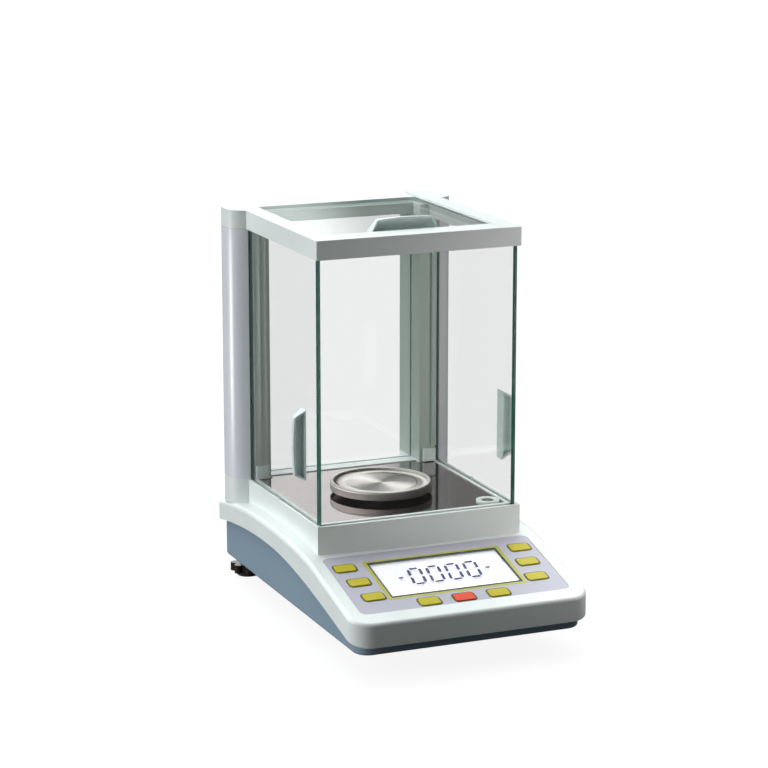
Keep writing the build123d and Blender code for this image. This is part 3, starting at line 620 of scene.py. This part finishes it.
def level_details(materials):
    """The level's white collar, its domed lens over the liquid, which is painted dark as shade, and the
    bubble.
    """
    low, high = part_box("level_housing")
    x = (low.x + high.x) / 2
    y = (low.y + high.y) / 2
    top = high.z
    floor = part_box("level_vial")[0].z + VIAL_FLOOR
    liquid = top - LIQUID_DROP
    bm = bmesh.new()
    wall = LENS_RADIUS + COLLAR_WALL
    collar = [(LENS_RADIUS, floor), (wall, floor), (wall, top + 0.1 * MM), (LENS_RADIUS + 0.6 * MM, top),
              (LENS_RADIUS, top - LENS_EDGE), (LENS_RADIUS, floor)]
    lathe(bm, x, y, collar)
    bmesh.ops.remove_doubles(bm, verts=bm.verts, dist=0.001 * MM)
    piece("level_collar", finished(bm, "level_collar", True), materials["level_ring"])
    bm = bmesh.new()
    dome = [(0, top + LENS_DOME), (LENS_RADIUS * 0.5, top), (LENS_RADIUS * 0.85, top - 0.45 * MM),
            (LENS_RADIUS, top - LENS_EDGE), (LENS_RADIUS, floor), (0, floor)]
    lathe(bm, x, y, dome)
    lens = piece("level_lens", finished(bm, "level_lens", True), materials["level_glass"])
    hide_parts("level_vial")
    bm = bmesh.new()
    bubble = [(0, liquid + BUBBLE_RISE), (BUBBLE_RADIUS * 0.7, liquid + 0.3 * MM),
              (BUBBLE_RADIUS, liquid + 0.1 * MM), (0, liquid + 0.05 * MM)]
    lathe(bm, x, y, bubble)
    piece("level_bubble", finished(bm, "level_bubble", True), materials["clear_window"])
    # The liquid: a dark disc, painted shade for the inside of the vial under the lens.
    bm = bmesh.new()
    side = LENS_RADIUS - LIQUID_GAP
    bottom = floor + LIQUID_GAP
    lathe(bm, x, y, [(0, liquid), (side, liquid), (side, bottom), (0, bottom)])
    piece("level_liquid_shade", finished(bm, "level_liquid_shade"), materials["dark_liner"])


def track_clips(material):
    """The small stop clipped over the outer lip of each side groove."""
    bm = bmesh.new()
    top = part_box("chamber_base")[1].z
    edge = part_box("chamber_base")[1].x
    for side in (-1, 1):
        middle = Vector((side * (edge - CLIP_INSET), CLIP_Y))
        outline = shifted(rounded(CLIP_WIDTH, CLIP_LENGTH, 0.5 * MM), middle)
        prism(bm, outline, top - CLIP_SUNK, top + CLIP_PROUD)
    made = piece("track_clips", finished(bm, "track_clips"), material)
    soften(made, CLIP_SOFT)


def soften(shown, width, segments=2):
    """Round the sharp edges of a piece a little."""
    round_edges = shown.modifiers.new("soften", "BEVEL")
    round_edges.width = width
    round_edges.segments = segments
    round_edges.limit_method = "ANGLE"


def foot_threads(material):
    """The threaded studs of the two rear feet."""
    for side in ("left", "right"):
        low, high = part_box(f"{side}_foot_stud")
        x = (low.x + high.x) / 2
        y = (low.y + high.y) / 2
        radius = (high.x - low.x) / 2
        rows = round((high.z - low.z) / THREAD_PITCH * 6)
        steps = 24
        bm = bmesh.new()
        loops = []
        for row in range(rows + 1):
            height = low.z + (high.z - low.z) * row / rows
            loop = []
            for i in range(steps):
                phase = (height / THREAD_PITCH - i / steps) % 1
                reach = radius - THREAD_DEPTH * abs(2 * phase - 1)
                angle = 2 * pi * i / steps
                loop.append(bm.verts.new((x + reach * cos(angle), y + reach * sin(angle), height)))
            loops.append(loop)
        for a, b in zip(loops, loops[1:]):
            for i in range(steps):
                j = (i + 1) % steps
                bm.faces.new((a[i], a[j], b[j], b[i]))
        bm.faces.new(reversed(loops[0]))
        bm.faces.new(loops[-1])
        name = f"{side}_foot_thread"
        made = piece(name, finished(bm, name, True), material, f"{side}_foot_screw")
        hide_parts(f"{side}_foot_stud")


# ---- stage --------------------------------------------------------------------------------------
def stage_floor():
    """A wide pale floor."""
    bm = bmesh.new()
    bmesh.ops.create_grid(bm, x_segments=1, y_segments=1, size=30)
    made = bpy.data.materials.new("floor")
    made.use_nodes = True
    nodes = made.node_tree.nodes
    nodes.remove(nodes["Principled BSDF"])
    glow = node(made, "ShaderNodeEmission", Color=(1, 1, 1, 1), Strength=FLOOR_GLOW)
    faint = node(made, "ShaderNodeBsdfDiffuse", Color=(FLOOR_SEEN, FLOOR_SEEN, FLOOR_SEEN, 1))
    seen = node(made, "ShaderNodeAddShader")
    link(made, glow.outputs[0], seen.inputs[0])
    link(made, faint.outputs[0], seen.inputs[1])
    bounce = node(made, "ShaderNodeBsdfDiffuse", Color=(FLOOR_BOUNCE, FLOOR_BOUNCE, FLOOR_BOUNCE, 1))
    straight = node(made, "ShaderNodeLightPath").outputs["Is Camera Ray"]
    both = mixed(made, straight, bounce.outputs[0], seen.outputs[0])
    link(made, both, nodes["Material Output"].inputs["Surface"])
    mesh = finished(bm, "floor")
    mesh.materials.append(made)
    floor = bpy.data.objects.new("floor", mesh)
    bpy.context.scene.collection.objects.link(floor)


def area_light(name, location, target, size, power, colour, diffuse=True, glossy=True):
    """A soft box that faces target and is not seen itself."""
    data = bpy.data.lights.new(name, "AREA")
    data.shape = "RECTANGLE"
    data.size, data.size_y = size
    data.energy = power
    data.color = colour
    lamp = bpy.data.objects.new(name, data)
    bpy.context.scene.collection.objects.link(lamp)
    lamp.location = location
    lamp.rotation_euler = (Vector(target) - Vector(location)).to_track_quat("-Z", "Y").to_euler()
    lamp.visible_camera = False
    lamp.visible_diffuse = diffuse
    lamp.visible_glossy = glossy


def sky():
    """Soft surroundings for light and reflections: bright above and to the rear left, dim in front."""
    world = bpy.data.worlds.new("studio")
    bpy.context.scene.world = world
    world.use_nodes = True
    back = world.node_tree.nodes["Background"]
    direction = node(world, "ShaderNodeTexCoord").outputs["Generated"]
    total = SKY_FLOOR
    for aim, low, high, power in SKY_LOBES:
        dot = node(world, "ShaderNodeVectorMath", {"operation": "DOT_PRODUCT"})
        link(world, direction, dot.inputs[0])
        dot.inputs[1].default_value = Vector(aim).normalized()
        ramp = node(world, "ShaderNodeMapRange", {"interpolation_type": "SMOOTHSTEP"})
        link(world, dot.outputs["Value"], ramp.inputs["Value"])
        for key, value in (("From Min", low), ("From Max", high), ("To Min", 0.0), ("To Max", power)):
            ramp.inputs[key].default_value = value
        total = maths(world, "ADD", ramp.outputs["Result"], total)
    lit = node(world, "ShaderNodeMix", {"data_type": "FLOAT"})
    link(world, node(world, "ShaderNodeLightPath").outputs["Is Camera Ray"], lit.inputs[0])
    link(world, total, lit.inputs[2])
    lit.inputs[3].default_value = SKY_SEEN
    link(world, lit.outputs[0], back.inputs["Strength"])
    back.inputs["Color"].default_value = (*SKY_COLOUR, 1)


def camera():
    """The camera, at the same viewing angle as the reference."""
    data = bpy.data.cameras.new("camera")
    data.lens = CAMERA_LENS
    data.sensor_width = 36
    data.clip_end = 100
    made = bpy.data.objects.new("camera", data)
    bpy.context.scene.collection.objects.link(made)
    made.location = CAMERA_PLACE
    made.rotation_mode = "QUATERNION"
    made.rotation_quaternion = (-Vector(CAMERA_BACK)).to_track_quat("-Z", "Y")
    bpy.context.scene.camera = made


def main():
    materials = make_materials()
    paint_cad(materials)
    ink = moulded("printed_ink", (0.06, 0.06, 0.02), 0.5)
    violet = moulded("digit_ink", (0.03, 0.015, 0.16), 0.4)
    deck = deck_matrix()
    key_outlines(deck, ink)
    display_shade_rim(deck, materials["dark_liner"])
    display_digits(deck, violet)
    column_seams(materials["grey_aluminium"])
    level_details(materials)
    track_clips(materials["white_plastic"])
    foot_threads(materials["zinc_steel"])
    stage_floor()
    sky()
    area_light("right_light", *RIGHT_BOX, glossy=False)
    area_light("strip_light", *STRIP_BOX, diffuse=False)
    camera()
    bpy.context.scene.view_settings.view_transform = "Standard"


main()
